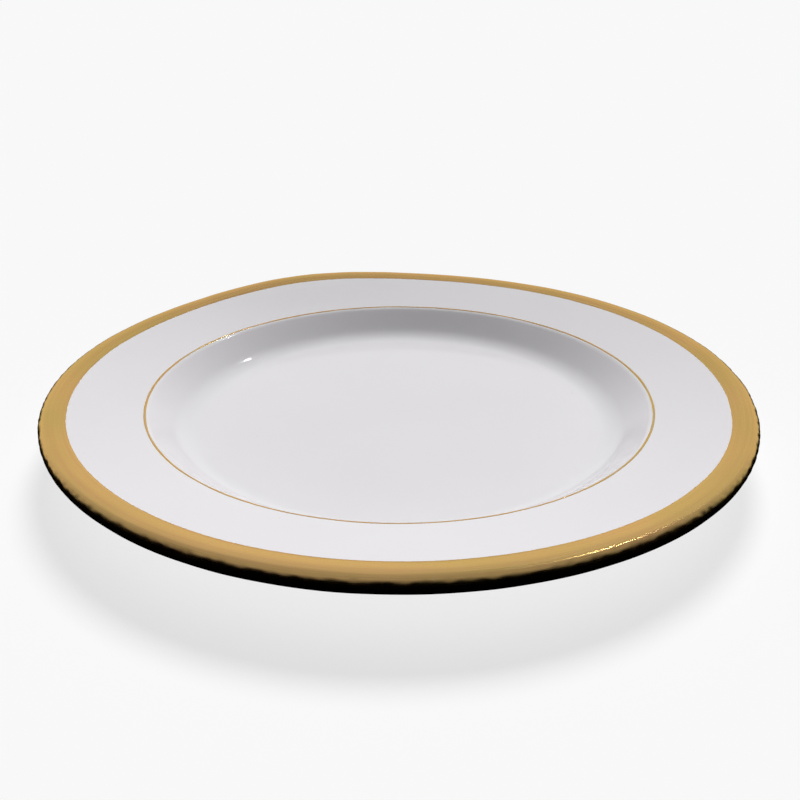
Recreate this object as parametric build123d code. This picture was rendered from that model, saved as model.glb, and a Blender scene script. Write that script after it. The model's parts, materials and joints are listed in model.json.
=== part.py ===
from build123d import *
from build123d.topology import SkipClean
import os
from math import cos, radians, sin, tan

# A rimmed china dinner plate, in millimetres, standing on its foot ring.
# The origin is the centre of the foot ring's resting plane and +Z points up.
# Every piece is a body of revolution about Z. The pieces are the layers that a potter and a
# gilder put on in turn: fired clay, glass glaze, then gold on top of the glaze.

# Driving dimensions. The clay is the first layer, and every other surface lies outside it.
PLATE_DIAMETER = 270.0  # over the gold on the edge
GLAZE_THICKNESS = 0.25
GOLD_THICKNESS = 0.10

FLOOR_HEIGHT = 5.75  # clay surface of the well's flat floor
FLOOR_THICKNESS = 3.40
WALL_SLOPE = radians(42.0)
WALL_THICKNESS = 3.70
VERGE_RADIUS = 97.7  # where the wall of the well turns into the rim
VERGE_HEIGHT = 17.05
RIM_SLOPE = radians(11.5)
RIM_THICKNESS = 3.50
EDGE_TOP = 23.70  # clay surface of the rolled edge
EDGE_UNDERSIDE = 17.75

FOOT_INNER_RADIUS = 81.2
FOOT_OUTER_RADIUS = 84.8
FOOT_INNER_DRAFT = 1.2  # how far each side of the foot ring leans over its height
FOOT_OUTER_DRAFT = 1.4
FOOT_OUTER_RISE = 0.4  # how much higher the foot ring's root is outside than in the recess
FOOT_SHOULDER = 3.0  # how far the back runs out from that root before it turns up the wall
BARE_HEIGHT = 0.60  # the glaze is wiped off the foot ring below this height

BAND_INNER_RADIUS = 125.5  # the wide gold band on the rim
BAND_RETURN_RADIUS = 131.8  # where that band ends under the edge
LINE_INNER_RADIUS = 98.3  # the thin gold line on the verge
LINE_WIDTH = 0.9

# Radii of the rounded corners of the clay.
FLOOR_BLEND = 14.5
VERGE_BLEND = 4.0
CROWN_BLEND = 17.0  # where the rim's slope levels out into the top of the edge
EDGE_BLEND = 2.3
EDGE_UNDERSIDE_BLEND = 3.2
RIM_UNDERSIDE_BLEND = 30.0
VERGE_UNDERSIDE_BLEND = 8.0
WALL_UNDERSIDE_BLEND = 10.0
FOOT_ROOT_BLEND = 1.6
FOOT_BASE_BLEND = 0.8

# Worked out from those.
CLAY_RADIUS = PLATE_DIAMETER / 2 - GLAZE_THICKNESS - GOLD_THICKNESS
RECESS_HEIGHT = FLOOR_HEIGHT - FLOOR_THICKNESS  # clay surface of the back inside the foot ring
FOOT_MIDDLE_RADIUS = (FOOT_INNER_RADIUS + FOOT_OUTER_RADIUS) / 2
EDGE_MIDDLE_HEIGHT = (EDGE_TOP + EDGE_UNDERSIDE) / 2

# Limits of the construction, which leave no mark on the plate.
PAST_AXIS = -10.0  # the half section is drawn to here, and cut off at the axis
FAR_OUT = PLATE_DIAMETER  # a distance that is clear of the whole section
SECTORS = 8  # each piece is joined from this many equal sectors, so that no face runs far round it


def height_on_line(radius, start, slope):
    """Height at a radius of the sloping line through the point start."""
    return start[1] + (radius - start[0]) * tan(slope)


def radius_on_line(height, start, slope):
    """Radius at a height of the sloping line through the point start."""
    return start[0] + (height - start[1]) / tan(slope)


def under(point, slope, thickness):
    """The point straight through the clay from a point on a sloping top surface."""
    return (point[0] + thickness * sin(slope), point[1] - thickness * cos(slope))


def crossing(first, first_slope, second, second_slope):
    """Where two sloping lines cross."""
    rise = first[1] - second[1] + (second[0] - first[0]) * tan(first_slope)
    radius = second[0] + rise / (tan(second_slope) - tan(first_slope))
    return (radius, height_on_line(radius, second, second_slope))


def clay_corners():
    """The corners of the clay's half section, and the radius that rounds each one."""
    verge = (VERGE_RADIUS, VERGE_HEIGHT)
    under_rim = under(verge, RIM_SLOPE, RIM_THICKNESS)
    under_wall = under(verge, WALL_SLOPE, WALL_THICKNESS)
    foot_root = (FOOT_OUTER_RADIUS + FOOT_OUTER_DRAFT, RECESS_HEIGHT + FOOT_OUTER_RISE)
    wall_root_radius = foot_root[0] + FOOT_SHOULDER
    top = [
        ((radius_on_line(FLOOR_HEIGHT, verge, WALL_SLOPE), FLOOR_HEIGHT), FLOOR_BLEND),
        (verge, VERGE_BLEND),
        ((radius_on_line(EDGE_TOP, verge, RIM_SLOPE), EDGE_TOP), CROWN_BLEND),
        ((CLAY_RADIUS, EDGE_TOP), EDGE_BLEND),
    ]
    underside = [
        ((CLAY_RADIUS, EDGE_UNDERSIDE), EDGE_UNDERSIDE_BLEND),
        ((radius_on_line(EDGE_UNDERSIDE, under_rim, RIM_SLOPE), EDGE_UNDERSIDE), RIM_UNDERSIDE_BLEND),
        (crossing(under_rim, RIM_SLOPE, under_wall, WALL_SLOPE), VERGE_UNDERSIDE_BLEND),
        ((wall_root_radius, height_on_line(wall_root_radius, under_wall, WALL_SLOPE)), WALL_UNDERSIDE_BLEND),
    ]
    foot = [
        (foot_root, FOOT_ROOT_BLEND),
        ((FOOT_OUTER_RADIUS, 0.0), FOOT_BASE_BLEND),
        ((FOOT_INNER_RADIUS, 0.0), FOOT_BASE_BLEND),
        ((FOOT_INNER_RADIUS - FOOT_INNER_DRAFT, RECESS_HEIGHT), FOOT_ROOT_BLEND),
    ]
    return top + underside + foot


def check_room(points, radii):
    """Stops if the roundings at a side's two ends overlap, because the outline would fold back."""
    sides = [Vector(*end) - Vector(*start) for start, end in zip(points, points[1:])]
    turns = [radians(before.get_angle(after)) for before, after in zip(sides, sides[1:])]
    cuts = [0] + [radius * tan(turn / 2) for radius, turn in zip(radii, turns)] + [0]
    for start, side, cut, next_cut in zip(points, sides, cuts, cuts[1:]):
        if cut + next_cut >= side.length:
            raise ValueError(f"the roundings on the side from {start} overlap")


def grown(points, radii, coat):
    """The corners and radii of the outline that lies one coat outside the given one."""
    sides = [(Vector(*end) - Vector(*start)).normalized() for start, end in zip(points, points[1:])]
    outward = [Vector(-side.Y, side.X) for side in sides]
    moved = [Vector(*points[0]) + outward[0] * coat]
    rounded = []
    for corner, radius, before, after, side in zip(points[1:-1], radii, outward, outward[1:], sides[1:]):
        moved.append(Vector(*corner) + (before + after) * (coat / (1 + before.dot(after))))
        is_ridge = before.dot(side) < 0
        rounded.append(radius + coat if is_ridge else radius - coat)
    moved.append(Vector(*points[-1]) + outward[-1] * coat)
    return moved, rounded


def section(coat):
    """The half section of the clay and a coat of that thickness, with X as radius and Y as height.

    It runs a little past the axis, so that the coat stays even there.
    """
    corners = clay_corners()
    points = [(PAST_AXIS, FLOOR_HEIGHT)] + [point for point, _ in corners] + [(PAST_AXIS, RECESS_HEIGHT)]
    radii = [radius for _, radius in corners]
    check_room(points, radii)
    moved, radii = grown(points, radii, coat)
    outline = FilletPolyline(*moved, radius=radii)
    return make_face(outline.edges() + [Line(moved[-1], moved[0])])


def region(low_radius, high_radius, low_height, high_height):
    """A rectangle of the half section, for keeping one stretch of a layer."""
    width, height = high_radius - low_radius, high_height - low_height
    return Pos(low_radius + width / 2, low_height + height / 2) * Rectangle(width, height)


def turned(half):
    """The solid that a half section makes about the plate's axis, with its seams left in."""
    angle = 360 / SECTORS
    sector = revolve(Plane.XZ * half, axis=Axis.Z, revolution_arc=angle).solid()
    others = [sector.rotate(Axis.Z, angle * step) for step in range(1, SECTORS)]
    with SkipClean():
        return sector.fuse(*others)


def porcelain_body(clay):
    """The fired clay, with its foot ring, in one piece."""
    return turned(clay & region(0, FAR_OUT, -FAR_OUT, FAR_OUT))


def outer_glaze(clay, glazed):
    """The glaze over the face, round the edge and down the back to the foot ring's outer side."""
    coat = glazed - clay
    back = coat & region(FOOT_MIDDLE_RADIUS, FAR_OUT, BARE_HEIGHT, FAR_OUT)
    face = coat & region(0, FOOT_MIDDLE_RADIUS, FLOOR_HEIGHT, FAR_OUT)
    return turned(back + face)


def base_glaze(clay, glazed):
    """The glaze inside the foot ring, which the bare foot cuts off from the rest."""
    coat = glazed - clay
    return turned(coat & region(0, FOOT_MIDDLE_RADIUS, BARE_HEIGHT, RECESS_HEIGHT + GLAZE_THICKNESS))


def rim_gold_band(glazed, gilded):
    """The wide gold band over the rim's outer part, the rolled edge and its underside."""
    coat = gilded - glazed
    upper = coat & region(BAND_INNER_RADIUS, FAR_OUT, EDGE_MIDDLE_HEIGHT, FAR_OUT)
    lower = coat & region(BAND_RETURN_RADIUS, FAR_OUT, 0, EDGE_MIDDLE_HEIGHT)
    return turned(upper + lower)


def verge_gold_line(glazed, gilded):
    """The thin gold line on the verge, between the rim and the well."""
    inside_the_clay = VERGE_HEIGHT - RIM_THICKNESS / 2
    line_outer_radius = LINE_INNER_RADIUS + LINE_WIDTH
    coat = gilded - glazed
    return turned(coat & region(LINE_INNER_RADIUS, line_outer_radius, inside_the_clay, FAR_OUT))


clay = section(0)
glazed = section(GLAZE_THICKNESS)
gilded = section(GLAZE_THICKNESS + GOLD_THICKNESS)
pieces = {
    "porcelain_body": porcelain_body(clay),
    "outer_glaze": outer_glaze(clay, glazed),
    "base_glaze": base_glaze(clay, glazed),
    "rim_gold_band": rim_gold_band(glazed, gilded),
    "verge_gold_line": verge_gold_line(glazed, gilded),
}
os.makedirs("parts", exist_ok=True)
for name, piece in pieces.items():
    export_step(piece, f"parts/{name}.step")
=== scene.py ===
import json
from math import atan2, ceil, cos, exp, pi, radians, sin, tan

import bmesh
import bpy
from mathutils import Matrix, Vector, noise


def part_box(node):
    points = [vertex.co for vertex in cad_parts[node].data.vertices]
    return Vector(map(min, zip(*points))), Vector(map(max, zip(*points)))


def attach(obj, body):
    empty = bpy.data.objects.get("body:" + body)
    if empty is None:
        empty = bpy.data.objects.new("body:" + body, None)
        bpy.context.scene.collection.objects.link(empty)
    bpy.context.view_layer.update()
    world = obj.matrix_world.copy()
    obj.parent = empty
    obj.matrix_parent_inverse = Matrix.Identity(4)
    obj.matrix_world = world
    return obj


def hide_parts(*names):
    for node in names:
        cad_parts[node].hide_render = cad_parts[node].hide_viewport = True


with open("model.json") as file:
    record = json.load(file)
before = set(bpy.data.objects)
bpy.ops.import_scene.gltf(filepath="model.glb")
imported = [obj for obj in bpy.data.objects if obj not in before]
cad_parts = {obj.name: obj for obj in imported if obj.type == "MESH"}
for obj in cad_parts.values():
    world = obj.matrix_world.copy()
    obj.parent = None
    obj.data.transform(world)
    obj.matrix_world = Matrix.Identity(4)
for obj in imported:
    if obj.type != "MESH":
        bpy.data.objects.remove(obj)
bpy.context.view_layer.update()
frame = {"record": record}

# A rimmed china dinner plate: fired clay, glaze over it, and gold on the glaze. All lengths are in
# metres. The layers share one half section, and each is laid on it at its own height, so that
# each one lies on the one below.

MM = 0.001

# Sizes read from the frame.
clay_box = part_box("porcelain_body")
glaze_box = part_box("outer_glaze")
base_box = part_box("base_glaze")
band_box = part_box("rim_gold_band")
line_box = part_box("verge_gold_line")
mounts = {mount["name"]: mount for mount in frame["record"]["mounts"]}

CLAY_RADIUS = clay_box[1].x
GLAZE = glaze_box[1].x - clay_box[1].x
GOLD = band_box[1].x - glaze_box[1].x
EDGE_TOP = clay_box[1].z
EDGE_UNDERSIDE = band_box[0].z + GLAZE + GOLD
RECESS_HEIGHT = base_box[1].z
BARE_HEIGHT = base_box[0].z
FLOOR_HEIGHT = mounts["well_floor"]["pos_m"][2] - GLAZE
FOOT_MIDDLE = mounts["foot_ring"]["pos_m"][0]
LINE_OUTER = line_box[1].x

# Sizes that the frame's boxes and mounts don't give.
WALL_SLOPE = radians(42.0)
WALL_THICKNESS = 3.7 * MM
VERGE_RADIUS = 97.7 * MM
VERGE_HEIGHT = 17.05 * MM
RIM_SLOPE = radians(11.5)
RIM_THICKNESS = 3.5 * MM
FOOT_WIDTH = 3.6 * MM
FOOT_INNER_DRAFT = 1.2 * MM
FOOT_OUTER_DRAFT = 1.4 * MM
FOOT_OUTER_RISE = 0.4 * MM
FOOT_SHOULDER = 3.0 * MM
BAND_INNER = 125.5 * MM
BAND_RETURN = 131.8 * MM
LINE_WIDTH = 0.9 * MM

# Radii of the section's rounded corners.
FLOOR_BLEND = 14.5 * MM
VERGE_BLEND = 4.0 * MM
CROWN_BLEND = 17.0 * MM
EDGE_BLEND = 2.3 * MM
EDGE_UNDERSIDE_BLEND = 3.2 * MM
RIM_UNDERSIDE_BLEND = 30.0 * MM
VERGE_UNDERSIDE_BLEND = 8.0 * MM
WALL_UNDERSIDE_BLEND = 10.0 * MM
FOOT_ROOT_BLEND = 1.6 * MM
FOOT_BASE_BLEND = 0.8 * MM

# Fineness of the meshes.
STRAIGHT_STEP = 3.0 * MM
ARC_STEP = radians(5.0)
LEAST_STEP = 0.02 * MM  # marks closer together than this are merged
FEATHER_STEPS = 6
HALVINGS = 40  # in the search for a place on the outline
FINE_TURN = 300  # divisions of a full turn in the glaze and the gold line
BAND_TURN = 972  # in the gold band, which is dented
COARSE_TURN = 216  # in the clay, of which only the bare foot shows

# Small faults of a hand-finished plate.
WARPS = [  # where the rim stands higher or lower from the firing: height, direction and spread
    (2.6 * MM, radians(112.0), radians(22.0)),
    (-1.2 * MM, radians(-32.0), radians(32.0)),
    (-0.4 * MM, radians(160.0), radians(25.0)),
]
ROLL_WAVE = 0.10 * MM  # slow unevenness of the rolled edge
ROLL_WAVE_LENGTH = 14.0 * MM
DENT_DEPTH = 0.42 * MM  # of the dents in the gold on the roll, before their ridges are cut off
DENT_LENGTH = 3.2 * MM
DENT_CAP = 0.7  # the dents' pattern is cut off at this height, so that their ridges are flat
DENT_ROOM = 0.22 * MM  # the layers below the gold lie this much deeper there, to clear the dents
DENTS_FROM = 0.97  # the dents start where the surface faces up this much, with 1 for level
DENTS_GROW = 0.35  # and have their full depth when it faces up this much less
DENTS_END = 0.45  # they fade below the outermost line, and are gone where it faces down this much
BAND_WOBBLE = 0.14 * MM  # how far the gilder's brush strays
LINE_WOBBLE = 0.16 * MM
BRUSH_WANDER = 22.0 * MM  # over what distance it strays
LIP = 0.03 * MM  # each layer ends in a lip of this height, and rises slowly from there
BAND_FEATHER = 1.2 * MM  # over what distance it reaches its full thickness
LINE_FEATHER = 0.30 * MM
GLAZE_FEATHER = 0.40 * MM

# View and light. A light's direction points at the light.
VIEW_ELEVATION = radians(25.1)
VIEW_DISTANCE = 0.353
VIEW_ASIDE = 0.3 * MM  # how far to the right of the plate's axis the camera stands and looks
LENS = 35.0
SENSOR = 32.0
FLOOR_SIZE = 60.0
FLOOR_GREY = 0.26
FLOOR_GLOW = 0.70
BACKDROP_GREY = 0.92
ROOM_SOFT_LIGHT = 0.14  # how strongly the room lights matt surfaces; its mirror image has strength 1
KEY_DIRECTION = (0.11, 0.53, 0.84)
KEY_STRENGTH = 3.18
KEY_WIDTH = 24  # degrees
GLINT_DIRECTION = (0.39, 0.49, 0.78)
GLINT_STRENGTH = 0.07
GLINT_WIDTH = 2


# ---------------------------------------------------------------- the half section

def height_on_line(radius, start, slope):
    """Height at a radius of the sloping line through the point start."""
    return start.y + (radius - start.x) * tan(slope)


def radius_on_line(height, start, slope):
    """Radius at a height of the sloping line through the point start."""
    return start.x + (height - start.y) / tan(slope)


def under(point, slope, thickness):
    """The point straight through the clay from a point on a sloping top surface."""
    return point + thickness * Vector((sin(slope), -cos(slope)))


def crossing(first, first_slope, second, second_slope):
    """Where two sloping lines cross."""
    rise = first.y - second.y + (second.x - first.x) * tan(first_slope)
    radius = second.x + rise / (tan(second_slope) - tan(first_slope))
    return Vector((radius, height_on_line(radius, second, second_slope)))


def clay_corners():
    """The corners of the clay's half section, from the axis to the axis, and their rounding."""
    verge = Vector((VERGE_RADIUS, VERGE_HEIGHT))
    under_rim = under(verge, RIM_SLOPE, RIM_THICKNESS)
    under_wall = under(verge, WALL_SLOPE, WALL_THICKNESS)
    foot_outer = FOOT_MIDDLE + FOOT_WIDTH / 2
    foot_inner = FOOT_MIDDLE - FOOT_WIDTH / 2
    foot_root = foot_outer + FOOT_OUTER_DRAFT
    wall_root = foot_root + FOOT_SHOULDER
    return [
        (Vector((0, FLOOR_HEIGHT)), 0),
        (Vector((radius_on_line(FLOOR_HEIGHT, verge, WALL_SLOPE), FLOOR_HEIGHT)), FLOOR_BLEND),
        (verge, VERGE_BLEND),
        (Vector((radius_on_line(EDGE_TOP, verge, RIM_SLOPE), EDGE_TOP)), CROWN_BLEND),
        (Vector((CLAY_RADIUS, EDGE_TOP)), EDGE_BLEND),
        (Vector((CLAY_RADIUS, EDGE_UNDERSIDE)), EDGE_UNDERSIDE_BLEND),
        (
            Vector((radius_on_line(EDGE_UNDERSIDE, under_rim, RIM_SLOPE), EDGE_UNDERSIDE)),
            RIM_UNDERSIDE_BLEND,
        ),
        (crossing(under_rim, RIM_SLOPE, under_wall, WALL_SLOPE), VERGE_UNDERSIDE_BLEND),
        (Vector((wall_root, height_on_line(wall_root, under_wall, WALL_SLOPE))), WALL_UNDERSIDE_BLEND),
        (Vector((foot_root, RECESS_HEIGHT + FOOT_OUTER_RISE)), FOOT_ROOT_BLEND),
        (Vector((foot_outer, 0)), FOOT_BASE_BLEND),
        (Vector((foot_inner, 0)), FOOT_BASE_BLEND),
        (Vector((foot_inner - FOOT_INNER_DRAFT, RECESS_HEIGHT)), FOOT_ROOT_BLEND),
        (Vector((0, RECESS_HEIGHT)), 0),
    ]


def runs_of(corners):
    """The straight runs and arcs of the rounded outline, each as start, heading, turn and length."""
    runs = []
    here = corners[0][0]
    for (before, _), (corner, radius), (after, _) in zip(corners, corners[1:], corners[2:]):
        into, out = (corner - before).normalized(), (after - corner).normalized()
        turn = atan2(into.x * out.y - into.y * out.x, into.dot(out))
        cut = radius * tan(abs(turn) / 2)
        heading = atan2(into.y, into.x)
        arc_start = corner - into * cut
        if (arc_start - here).dot(into) < 0:
            raise ValueError("two roundings overlap, so the outline folds back")
        runs.append((here, heading, 0, (arc_start - here).length))
        runs.append((arc_start, heading, turn, radius * abs(turn)))
        here = corner + out * cut
    last = corners[-1][0] - here
    runs.append((here, atan2(last.y, last.x), 0, last.length))
    return runs


RUNS = runs_of(clay_corners())
SECTION_LENGTH = sum(length for _, _, _, length in RUNS)


def on_section(distance):
    """The point of the clay's outline at a distance along it, and the outward direction there."""
    for start, heading, turn, length in RUNS:
        if distance <= length:
            break
        distance -= length
    distance = min(distance, length)
    if turn == 0:
        along = Vector((cos(heading), sin(heading)))
        return start + along * distance, Vector((-sin(heading), cos(heading)))
    radius = length / turn
    first = Vector((-sin(heading), cos(heading)))
    angle = heading + turn * distance / length
    outward = Vector((-sin(angle), cos(angle)))
    return start + (first - outward) * radius, outward


def distance_where(reached, low, high):
    """The distance along the outline, between two others, at which a test first holds."""
    for _ in range(HALVINGS):
        middle = (low + high) / 2
        if reached(on_section(middle)[0]):
            high = middle
        else:
            low = middle
    return high


def stations(start, end):
    """Distances along the outline between two others, closer together where it bends."""
    marks = [start]
    passed = 0
    for _, _, turn, length in RUNS:
        if length > 0:
            pieces = max(ceil(length / STRAIGHT_STEP), ceil(abs(turn) / ARC_STEP))
            marks += [passed + length * step / pieces for step in range(pieces + 1)]
        passed += length
    inside = [mark for mark in marks if start < mark < end]
    kept = [start]
    for mark in sorted(inside) + [end]:
        if mark - kept[-1] > LEAST_STEP:
            kept.append(mark)
    kept[-1] = end
    return kept


AT_EDGE = max(stations(0, SECTION_LENGTH), key=lambda mark: on_section(mark)[0].x)
AT_FOOT = distance_where(lambda p: p.x < FOOT_MIDDLE, AT_EDGE, SECTION_LENGTH)
AT_VERGE_LINE = distance_where(lambda p: p.x > LINE_OUTER - LINE_WIDTH, 0, AT_EDGE)
AT_BAND = distance_where(lambda p: p.x > BAND_INNER, 0, AT_EDGE)
AT_BAND_RETURN = distance_where(lambda p: p.x < BAND_RETURN, AT_EDGE, AT_FOOT)
AT_GLAZE_END = distance_where(lambda p: p.y < BARE_HEIGHT, AT_EDGE, AT_FOOT)
AT_BASE_GLAZE = distance_where(lambda p: p.y > BARE_HEIGHT, AT_FOOT, SECTION_LENGTH)


# ---------------------------------------------------------------- the plate's small faults

def eased(share):
    """0 below 0, 1 above 1, and a smooth rise between."""
    share = min(max(share, 0), 1)
    return share * share * (3 - 2 * share)


def lift(angle, radius):
    """How much higher than true the plate stands at a place, from its warping in the kiln."""
    outward = eased((radius - VERGE_RADIUS) / (CLAY_RADIUS - VERGE_RADIUS))
    total = 0
    for height, direction, spread in WARPS:
        away = (angle - direction + pi) % (2 * pi) - pi
        total += height * exp(-((away / spread) ** 2))
    return outward * total


def roll_wave(angle, point):
    """How far the rolled edge stands out from true, along its outward direction."""
    onto_roll = eased((point.x - BAND_INNER) / (CLAY_RADIUS - EDGE_BLEND - BAND_INNER))
    if onto_roll == 0:
        return 0
    place = Vector((point.x * cos(angle), point.x * sin(angle), point.y)) / ROLL_WAVE_LENGTH
    return onto_roll * ROLL_WAVE * noise.noise(place)


def dented(angle, point, outward, coat):
    """How the layers give way on the outer part of the roll, where the gold is dented."""
    share = eased((DENTS_FROM - outward.y) / DENTS_GROW) * eased((outward.y + DENTS_END) / DENTS_END)
    share *= eased((point.x - BAND_RETURN) / EDGE_BLEND)
    if share == 0:
        return 0
    gilt = eased((coat - GLAZE) / GOLD)
    place = Vector((point.x * cos(angle), point.x * sin(angle), point.y)) / DENT_LENGTH
    dent = min(noise.voronoi(place)[0][0], DENT_CAP) - DENT_CAP / 2
    return share * (gilt * DENT_DEPTH * dent - (1 - gilt) * DENT_ROOM)


def placed(distance, coat, angle):
    """The point in space a coat's height above the clay, at a distance along the outline."""
    point, outward = on_section(distance)
    height = coat + roll_wave(angle, point) + dented(angle, point, outward, coat)
    stood = point + outward * height
    return Vector((stood.x * cos(angle), stood.x * sin(angle), stood.y + lift(angle, stood.x)))


def strayed(angle, amount, seed):
    """How far a brush has strayed from its line at an angle round the plate."""
    turns = CLAY_RADIUS / BRUSH_WANDER
    return amount * noise.noise(Vector((cos(angle) * turns, sin(angle) * turns, seed)))


# ---------------------------------------------------------------- meshes

def piece_from(name, vertices, faces, material):
    """A smooth-shaded object from vertices and faces, checked to be closed."""
    mesh = bpy.data.meshes.new(name)
    mesh.from_pydata(vertices, [], faces)
    shape = bmesh.new()
    shape.from_mesh(mesh)
    bmesh.ops.recalc_face_normals(shape, faces=shape.faces)
    open_edges = [edge for edge in shape.edges if len(edge.link_faces) != 2]
    if open_edges:
        raise ValueError(f"{name} has {len(open_edges)} open edges")
    shape.to_mesh(mesh)
    shape.free()
    mesh.polygons.foreach_set("use_smooth", [True] * len(mesh.polygons))
    mesh.materials.append(material)
    piece = bpy.data.objects.new(name, mesh)
    bpy.context.scene.collection.objects.link(piece)
    return piece


def turned_to_axis(name, section, turn, material):
    """A closed piece whose section, a list of (distance, coat), starts and ends on the axis."""
    angles = [2 * pi * step / turn for step in range(turn)]
    vertices = [placed(*section[0], 0), placed(*section[-1], 0)]
    for distance, coat in section[1:-1]:
        vertices += [placed(distance, coat, angle) for angle in angles]
    rings = len(section) - 2
    faces = []
    for step in range(turn):
        following = (step + 1) % turn
        faces.append((0, 2 + step, 2 + following))
        last = 2 + (rings - 1) * turn
        faces.append((1, last + following, last + step))
        for ring in range(rings - 1):
            inner = 2 + ring * turn
            outer = inner + turn
            faces.append((inner + step, outer + step, outer + following, inner + following))
    return piece_from(name, vertices, faces, material)


def turned_ring(name, section_at, turn, material):
    """A closed ring whose section, a loop of (distance, coat), may change round the plate."""
    sections = [section_at(2 * pi * step / turn) for step in range(turn)]
    vertices = []
    for step, section in enumerate(sections):
        angle = 2 * pi * step / turn
        vertices += [placed(distance, coat, angle) for distance, coat in section]
    size = len(sections[0])
    faces = []
    for step in range(turn):
        here, there = step * size, (step + 1) % turn * size
        for spot in range(size):
            following = (spot + 1) % size
            faces.append((here + spot, there + spot, there + following, here + following))
    return piece_from(name, vertices, faces, material)


def thinned(thickness, from_end, feather):
    """A layer's thickness near its end: a fine lip, and then a slow rise to the full thickness."""
    return min(from_end, LIP) + (thickness - LIP) * eased(from_end / feather)


def feather_marks(feather):
    """Distances from a layer's end that follow its lip and its rise."""
    return [0, LIP] + [feather * step / FEATHER_STEPS for step in range(1, FEATHER_STEPS + 1)]


def strip(start, end, under_coat, thickness, feather, marks):
    """The closed section of a layer between two distances, thinned out at both ends."""
    top = []
    for mark in marks:
        distance = start + (end - start) * mark
        from_end = min(distance - start, end - distance)
        top.append((distance, under_coat + thinned(thickness, from_end, feather)))
    below = [(distance, under_coat) for distance, _ in reversed(top[1:-1])]
    return top + below


def shares(start, end, feather):
    """The stations between two distances as shares of the way, with extra ones in the feathers."""
    length = end - start
    near = feather_marks(feather)
    inner = [mark - start for mark in stations(start + feather, end - feather)]
    marks = near + inner[1:-1] + [length - distance for distance in reversed(near)]
    return [mark / length for mark in marks]


def make_porcelain_body(material):
    """The fired clay, with its foot ring."""
    section = [(distance, 0) for distance in stations(0, SECTION_LENGTH)]
    return turned_to_axis("porcelain_body_mesh", section, COARSE_TURN, material)


def make_outer_glaze(material):
    """The glaze over the face, round the edge and down the back to the foot ring."""
    marks = stations(0, AT_GLAZE_END - GLAZE_FEATHER)[:-1]
    marks += [AT_GLAZE_END - distance for distance in reversed(feather_marks(GLAZE_FEATHER))]
    outside = [(mark, thinned(GLAZE, AT_GLAZE_END - mark, GLAZE_FEATHER)) for mark in marks]
    inside = [(mark, 0) for mark in reversed(marks[:-1])]
    return turned_to_axis("outer_glaze_mesh", outside + inside, FINE_TURN, material)


def make_base_glaze(material):
    """The glaze inside the foot ring."""
    marks = [AT_BASE_GLAZE + distance for distance in feather_marks(GLAZE_FEATHER)]
    marks += stations(AT_BASE_GLAZE + GLAZE_FEATHER, SECTION_LENGTH)[1:]
    outside = [(mark, thinned(GLAZE, mark - AT_BASE_GLAZE, GLAZE_FEATHER)) for mark in reversed(marks)]
    inside = [(mark, 0) for mark in marks[1:]]
    return turned_to_axis("base_glaze_mesh", outside + inside, FINE_TURN, material)


def make_rim_gold_band(material):
    """The wide gold band, with an inner edge as steady as a gilder's hand."""
    marks = shares(AT_BAND, AT_BAND_RETURN, BAND_FEATHER)

    def section_at(angle):
        start = AT_BAND + strayed(angle, BAND_WOBBLE, seed=3)
        end = AT_BAND_RETURN + strayed(angle, 2 * BAND_WOBBLE, seed=7)
        return strip(start, end, GLAZE, GOLD, BAND_FEATHER, marks)

    return turned_ring("rim_gold_band_mesh", section_at, BAND_TURN, material)


def make_verge_gold_line(material):
    """The thin gold line, which swells and narrows a little."""
    at_end = AT_VERGE_LINE + LINE_WIDTH
    marks = shares(AT_VERGE_LINE, at_end, LINE_FEATHER)

    def section_at(angle):
        start = AT_VERGE_LINE + strayed(angle, LINE_WOBBLE, seed=11)
        end = at_end + strayed(angle, LINE_WOBBLE, seed=17)
        return strip(start, end, GLAZE, GOLD, LINE_FEATHER, marks)

    return turned_ring("verge_gold_line_mesh", section_at, FINE_TURN, material)


# ---------------------------------------------------------------- materials

# Sockets of the Mix node when it mixes colours.
MIX_SHARE, MIX_FIRST, MIX_SECOND = 0, 6, 7
MIX_RESULT = 2


def node(tree, kind, inputs=None, **settings):
    """A shader node with its settings, and its inputs set to values or linked to sockets."""
    made = tree.nodes.new(kind)
    for name, value in settings.items():
        setattr(made, name, value)
    for key, value in (inputs or {}).items():
        if isinstance(value, bpy.types.NodeSocket):
            tree.links.new(value, made.inputs[key])
        else:
            made.inputs[key].default_value = value
    return made


def calculated(tree, operation, first, second=0.0):
    """The result of a Math node."""
    return node(tree, "ShaderNodeMath", {0: first, 1: second}, operation=operation).outputs[0]


def noise_of(tree, place, scale, detail=3.0, roughness=0.5):
    """A noise from 0 to 1 over a vector."""
    inputs = {"Vector": place, "Scale": scale, "Detail": detail, "Roughness": roughness}
    return node(tree, "ShaderNodeTexNoise", inputs).outputs["Fac"]


def between(tree, value, low, high, to_low, to_high):
    """A value's range low to high, turned into another range and held inside it."""
    inputs = {"Value": value, "From Min": low, "From Max": high, "To Min": to_low, "To Max": to_high}
    return node(tree, "ShaderNodeMapRange", inputs).outputs["Result"]


def mixed(tree, share, first, second):
    """Two colours mixed by a share."""
    made = node(tree, "ShaderNodeMix", data_type="RGBA")
    for key, value in ((MIX_SHARE, share), (MIX_FIRST, first), (MIX_SECOND, second)):
        if isinstance(value, bpy.types.NodeSocket):
            tree.links.new(value, made.inputs[key])
        else:
            made.inputs[key].default_value = value
    return made.outputs[MIX_RESULT]


def colour(red, green, blue):
    """An opaque colour, in linear light."""
    return (red, green, blue, 1.0)


def grey(level):
    """An opaque grey, in linear light."""
    return colour(level, level, level)


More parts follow.
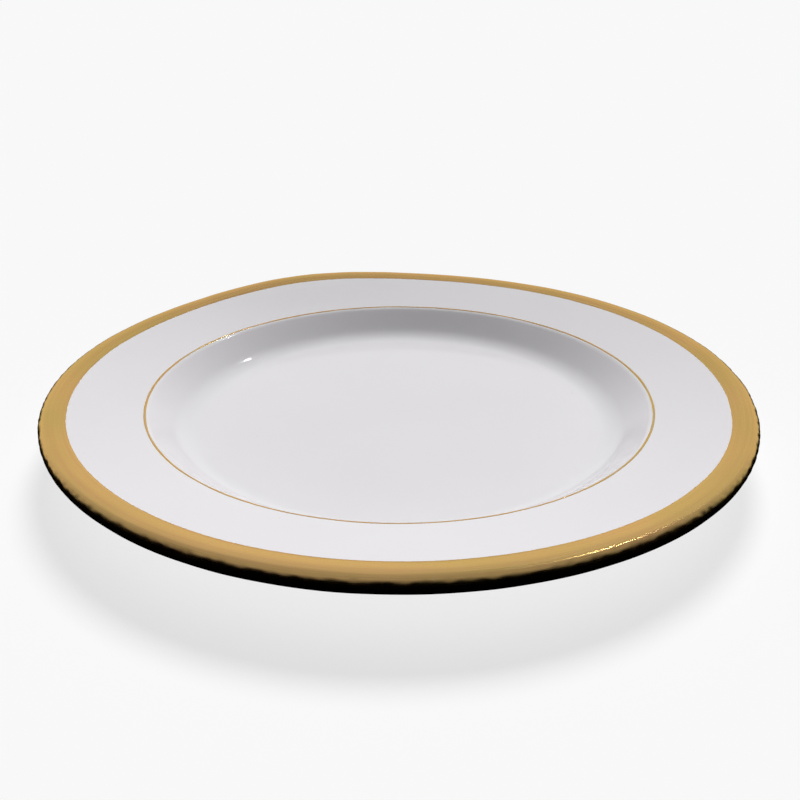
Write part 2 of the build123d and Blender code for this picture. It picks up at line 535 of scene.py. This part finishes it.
def round_plate(tree):
    """The place on the plate, its radius, and a vector for marks that run round it."""
    place = node(tree, "ShaderNodeTexCoord").outputs["Object"]
    flat = node(tree, "ShaderNodeVectorMath", {0: place, 1: (1, 1, 0)}, operation="MULTIPLY").outputs[0]
    radius = node(tree, "ShaderNodeVectorMath", {0: flat}, operation="LENGTH").outputs["Value"]
    facing = node(tree, "ShaderNodeVectorMath", {0: flat}, operation="NORMALIZE").outputs[0]
    height = node(tree, "ShaderNodeSeparateXYZ", {0: place}).outputs["Z"]
    across = calculated(tree, "SUBTRACT", radius, height)
    lengthened = calculated(tree, "MULTIPLY", across, 1 / MM)
    rise = node(tree, "ShaderNodeCombineXYZ", {"Z": lengthened}).outputs[0]
    marks = node(tree, "ShaderNodeVectorMath", {0: facing, 1: rise}, operation="ADD").outputs[0]
    return place, radius, marks


def new_material(name):
    """A material with its node tree and its shader."""
    material = bpy.data.materials.new(name)
    material.use_nodes = True
    return material, material.node_tree, material.node_tree.nodes["Principled BSDF"]


def make_glaze_material():
    """White china under clear glaze: a little greyer where the glaze pools, and faintly uneven."""
    material, tree, shader = new_material("glazed_china")
    place, radius, _ = round_plate(tree)
    white = mixed(
        tree,
        noise_of(tree, place, scale=22.0),
        colour(0.790, 0.770, 0.798),
        colour(0.825, 0.808, 0.830),
    )
    past_corner = calculated(tree, "SUBTRACT", radius, VERGE_RADIUS - FLOOR_BLEND)
    to_corner = calculated(tree, "ABSOLUTE", past_corner)
    pooled = between(tree, to_corner, 0.0, 9 * MM, 0.30, 0.0)
    tinted = mixed(tree, pooled, white, colour(0.735, 0.745, 0.755))
    specks = between(tree, noise_of(tree, place, scale=900.0, detail=1.0), 0.80, 0.84, 0.0, 0.35)
    speckled = mixed(tree, specks, tinted, colour(0.35, 0.30, 0.26))
    tree.links.new(speckled, shader.inputs["Base Color"])
    rubbed = between(tree, noise_of(tree, place, scale=60.0, detail=5.0), 0.35, 0.75, 0.05, 0.13)
    tree.links.new(rubbed, shader.inputs["Roughness"])
    waves = noise_of(tree, place, scale=95.0, detail=1.0)
    inputs = {"Height": waves, "Strength": 0.18, "Distance": 0.10 * MM}
    bump = node(tree, "ShaderNodeBump", inputs)
    tree.links.new(bump.outputs[0], shader.inputs["Normal"])
    shader.inputs["IOR"].default_value = 1.52
    return material


def make_gold_material(name, worn):
    """Fired gold, satin, with fine marks of the brush and the burnisher that run round the plate."""
    material, tree, shader = new_material(name)
    place, _, marks = round_plate(tree)
    fine = noise_of(tree, marks, scale=5.0, detail=4.0, roughness=0.6)
    broad = noise_of(tree, marks, scale=1.1, detail=2.0)
    patches = noise_of(tree, place, scale=70.0, detail=3.0)
    gold = mixed(
        tree,
        between(tree, fine, 0.3, 0.7, 0.0, 1.0),
        colour(0.82, 0.52, 0.19),
        colour(0.90, 0.61, 0.24),
    )
    warmer = mixed(tree, between(tree, broad, 0.35, 0.70, 0.0, 0.7), gold, colour(0.82, 0.47, 0.21))
    drift = noise_of(tree, place, scale=16.0, detail=2.0)
    olive = mixed(tree, between(tree, drift, 0.48, 0.70, 0.0, 0.6), warmer, colour(0.70, 0.53, 0.17))
    thin = between(tree, patches, 1 - worn, 1.0, 0.0, 0.9)
    faded = mixed(tree, thin, olive, colour(0.62, 0.57, 0.48))
    tree.links.new(faded, shader.inputs["Base Color"])
    tree.links.new(between(tree, fine, 0.3, 0.7, 0.17, 0.30), shader.inputs["Roughness"])
    shader.inputs["Metallic"].default_value = 1.0
    shader.inputs["Specular Tint"].default_value = colour(1.0, 0.84, 0.55)
    inputs = {"Height": fine, "Strength": 0.35, "Distance": 0.03 * MM}
    bump = node(tree, "ShaderNodeBump", inputs)
    tree.links.new(bump.outputs[0], shader.inputs["Normal"])
    return material


def make_biscuit_material():
    """Bare fired clay: matt, fine-grained, and a little soiled where it stands."""
    material, tree, shader = new_material("bare_biscuit")
    place, _, _ = round_plate(tree)
    grain = noise_of(tree, place, scale=1500.0, detail=4.0)
    clay = mixed(tree, grain, colour(0.74, 0.70, 0.64), colour(0.84, 0.81, 0.76))
    soiled = between(tree, noise_of(tree, place, scale=120.0, detail=4.0), 0.5, 0.8, 0.0, 0.5)
    stained = mixed(tree, soiled, clay, colour(0.48, 0.42, 0.35))
    tree.links.new(stained, shader.inputs["Base Color"])
    shader.inputs["Roughness"].default_value = 0.85
    bump = node(tree, "ShaderNodeBump", {"Height": grain, "Strength": 0.5, "Distance": 0.05 * MM})
    tree.links.new(bump.outputs[0], shader.inputs["Normal"])
    return material


# ---------------------------------------------------------------- the setting

def aimed(direction):
    """The rotation that makes a light shine from a direction."""
    return Vector(direction).to_track_quat("Z", "Y").to_euler()


def make_sun(name, direction, strength, width):
    """A light at a great distance, with a width in degrees that softens its shadows."""
    data = bpy.data.lights.new(name, "SUN")
    data.energy = strength
    data.angle = radians(width)
    light = bpy.data.objects.new(name, data)
    light.rotation_euler = aimed(direction)
    bpy.context.scene.collection.objects.link(light)
    return light


def make_floor():
    """A plain pale floor, most of whose brightness is its own, and which the plate doesn't mirror."""
    half = FLOOR_SIZE / 2
    mesh = bpy.data.meshes.new("floor")
    corners = [(-half, -half, 0), (half, -half, 0), (half, half, 0), (-half, half, 0)]
    mesh.from_pydata(corners, [], [(0, 1, 2, 3)])
    material, tree, shader = new_material("floor")
    shader.inputs["Base Color"].default_value = grey(FLOOR_GREY)
    shader.inputs["Roughness"].default_value = 0.9
    shader.inputs["Specular IOR Level"].default_value = 0.0
    shader.inputs["Emission Color"].default_value = grey(1)
    shader.inputs["Emission Strength"].default_value = FLOOR_GLOW
    mesh.materials.append(material)
    floor = bpy.data.objects.new("floor", mesh)
    floor.visible_glossy = False
    bpy.context.scene.collection.objects.link(floor)


def make_world():
    """A pale room with little light of its own.

    In reflections it is bright behind the plate, and dark in front of it and below.
    """
    world = bpy.data.worlds.new("room")
    world.use_nodes = True
    bpy.context.scene.world = world
    tree = world.node_tree
    background = tree.nodes["Background"]
    direction = node(tree, "ShaderNodeTexCoord").outputs["Generated"]
    parts = node(tree, "ShaderNodeSeparateXYZ", {0: direction}).outputs
    rays = node(tree, "ShaderNodeLightPath").outputs

    # Brightness by how high a direction points, with Z from -1 to 1. Y is the way to the back.
    ahead = between(tree, parts["Z"], 0.30, 0.90, 0.0, 0.36)
    low = between(tree, parts["Z"], -0.05, 0.12, 0.0, 1.0)
    behind = calculated(tree, "MULTIPLY", low, between(tree, parts["Z"], 0.25, 0.72, 0.80, 0.46))
    room = mixed(tree, between(tree, parts["Y"], 0.0, 0.7, 0.0, 1.0), ahead, behind)

    shown = mixed(tree, rays["Is Camera Ray"], room, grey(BACKDROP_GREY))
    tree.links.new(shown, background.inputs["Color"])
    strength = between(tree, rays["Is Diffuse Ray"], 0.0, 1.0, 1.0, ROOM_SOFT_LIGHT)
    tree.links.new(strength, background.inputs["Strength"])


def make_camera():
    """The camera, looking down on the plate from the front."""
    data = bpy.data.cameras.new("camera")
    data.lens = LENS
    data.sensor_width = SENSOR
    data.clip_start = 0.01
    data.clip_end = 2 * FLOOR_SIZE
    camera = bpy.data.objects.new("camera", data)
    target = Vector((VIEW_ASIDE, 0, glaze_box[1].z / 2))
    away = Vector((0, -cos(VIEW_ELEVATION), sin(VIEW_ELEVATION)))
    camera.location = target + away * VIEW_DISTANCE
    camera.rotation_euler = away.to_track_quat("Z", "Y").to_euler()
    bpy.context.scene.collection.objects.link(camera)
    bpy.context.scene.camera = camera


# ---------------------------------------------------------------- the plate

china = make_glaze_material()
pieces = {
    "porcelain_body": (make_porcelain_body(make_biscuit_material()), "porcelain"),
    "outer_glaze": (make_outer_glaze(china), "glaze"),
    "base_glaze": (make_base_glaze(china), "glaze"),
    "rim_gold_band": (make_rim_gold_band(make_gold_material("gold_band", worn=0.30)), "gilding"),
    "verge_gold_line": (make_verge_gold_line(make_gold_material("gold_line", worn=0.56)), "gilding"),
}
for cad_node, (piece, slot_name) in pieces.items():
    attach(piece, "root")
    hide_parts(cad_node)

make_floor()
make_world()
key = make_sun("key", KEY_DIRECTION, KEY_STRENGTH, KEY_WIDTH)
key.visible_glossy = False  # so that the plate doesn't mirror it
make_sun("glint", GLINT_DIRECTION, GLINT_STRENGTH, GLINT_WIDTH)
make_camera()
bpy.context.scene.view_settings.view_transform = "Standard"
